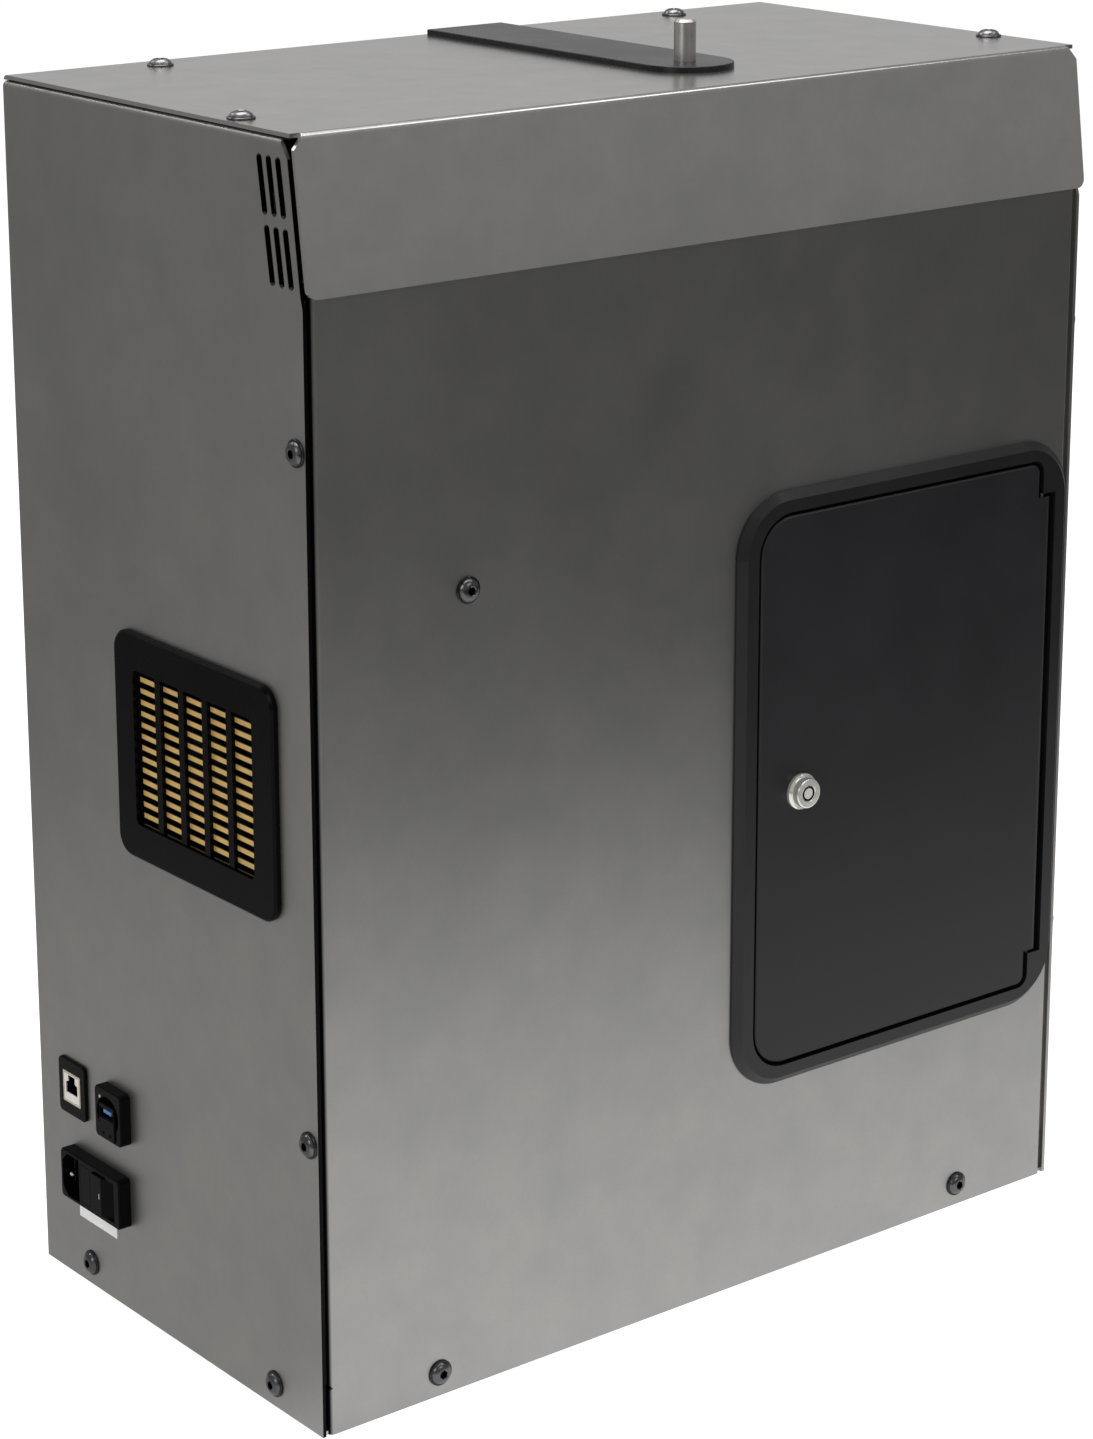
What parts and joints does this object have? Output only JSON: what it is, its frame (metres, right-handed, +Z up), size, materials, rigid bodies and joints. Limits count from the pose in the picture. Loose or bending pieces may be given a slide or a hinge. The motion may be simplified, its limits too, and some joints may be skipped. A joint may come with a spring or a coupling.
{
  "type": "mass spectrometer",
  "caption": "Benchtop mass spectrometer in a folded stainless cabinet with a sloping visor, lockable door, side air inlet, mains and data sockets and a top strap with a locating pin.",
  "frame": {"origin": "centre of the whole instrument's bounding box, on the surface it stands on", "axes": "+Z up; the door and the visor face -Y; the air inlet and the sockets are on the -X side"},
  "size_m": [0.5124, 0.273, 0.67],
  "materials": {
    "brushed_stainless": "brushed, near mirror at grazing angles",
    "satin_stainless": "bead-blasted satin",
    "zinc_steel": "zinc-plated satin",
    "dark_screw": "dark nickel, satin",
    "matte_black": "moulded, fine texture",
    "black_moulding": "moulded satin",
    "brass_mesh": "satin",
    "rubber_foot": "matte",
    "nickel": "bright nickel",
    "ethernet_black": "satin",
    "fuse_glass": "clear",
    "strap_steel": "satin, dark",
    "vacuum_steel": "electropolished",
    "machined_aluminium": "machined",
    "knob_black": "semi-gloss",
    "board_green": "satin solder mask",
    "brass_standoff": "turned"
  },
  "bodies": {
    "cabinet": {"backing_pump": "machined_aluminium", "base_pan": "zinc_steel", "bay_liner": "zinc_steel", "board_standoffs": "brass_standoff", "control_board": "board_green", "detector_housing": "machined_aluminium", "door_frame": "black_moulding", "equipment_deck": "zinc_steel", "ethernet_flange": "ethernet_black", "ethernet_jack": "nickel", "fan_frame": "matte_black", "feet": "rubber_foot", "flight_tube": "vacuum_steel", "foreline_pipe": "vacuum_steel", "front_left_post": "zinc_steel", "front_panel": "satin_stainless", "front_panel_screws": "dark_screw", "front_right_post": "zinc_steel", "grille_frame": "matte_black", "hinge_pins": "nickel", "hv_supply": "machined_aluminium", "inlet_body": "matte_black", "inlet_pins": "nickel", "ion_source": "vacuum_steel", "left_panel_screws": "dark_screw", "left_side_panel": "satin_stainless", "load_port": "machined_aluminium", "power_supply": "machined_aluminium", "rear_left_post": "zinc_steel", "rear_panel": "satin_stainless", "rear_panel_screws": "dark_screw", "rear_rail": "zinc_steel", "rear_right_post": "zinc_steel", "right_panel_screws": "dark_screw", "right_side_panel": "satin_stainless", "rivet_nuts": "zinc_steel", "source_chamber": "machined_aluminium", "strap_nut": "zinc_steel", "strap_pin": "nickel", "top_hood": "brushed_stainless", "top_hood_screws": "dark_screw", "top_strap": "strap_steel", "tube_bracket": "zinc_steel", "turbo_pump": "machined_aluminium", "usb_housing": "matte_black", "usb_port": "nickel", "vent_screen": "brass_mesh"},
    "door": {"access_door": "black_moulding", "lock_body": "nickel", "lock_nut": "nickel"},
    "lock": {"lock_plug": "nickel", "lock_cam": "nickel"},
    "rocker": {"switch_rocker": "matte_black"},
    "fuse_tray": {"fuse_drawer": "matte_black", "fuses": "fuse_glass"},
    "fan": {"fan_rotor": "matte_black"},
    "probe": {"sample_probe": "machined_aluminium", "probe_knob": "knob_black"}
  },
  "joints": [
    {"name": "door_hinge", "type": "hinge", "parent": "cabinet", "child": "door", "pos_m": [0.23037, -0.1254, 0.277], "axis": [0, 0, 1], "range_deg": [0, 95]},
    {"name": "lock_turn", "type": "hinge", "parent": "door", "child": "lock", "pos_m": [0.05557, -0.1299, 0.277], "axis": [0, -1, 0], "range_deg": [0, 90]},
    {"name": "switch_rock", "type": "hinge", "parent": "cabinet", "child": "rocker", "pos_m": [-0.25078, 0.0633, 0.0676], "axis": [0, 0, -1], "range_deg": [0, 24]},
    {"name": "fuse_slide", "type": "slide", "parent": "cabinet", "child": "fuse_tray", "axis": [-1, 0, 0], "range_m": [0, 0.02]},
    {"name": "fan_spin", "type": "hinge", "parent": "cabinet", "child": "fan", "pos_m": [-0.23292, -0.0281, 0.3235], "axis": [1, 0, 0], "continuous": true},
    {"name": "probe_slide", "type": "slide", "parent": "cabinet", "child": "probe", "axis": [1, 0, 0], "range_m": [0, 0.09]}
  ]
}
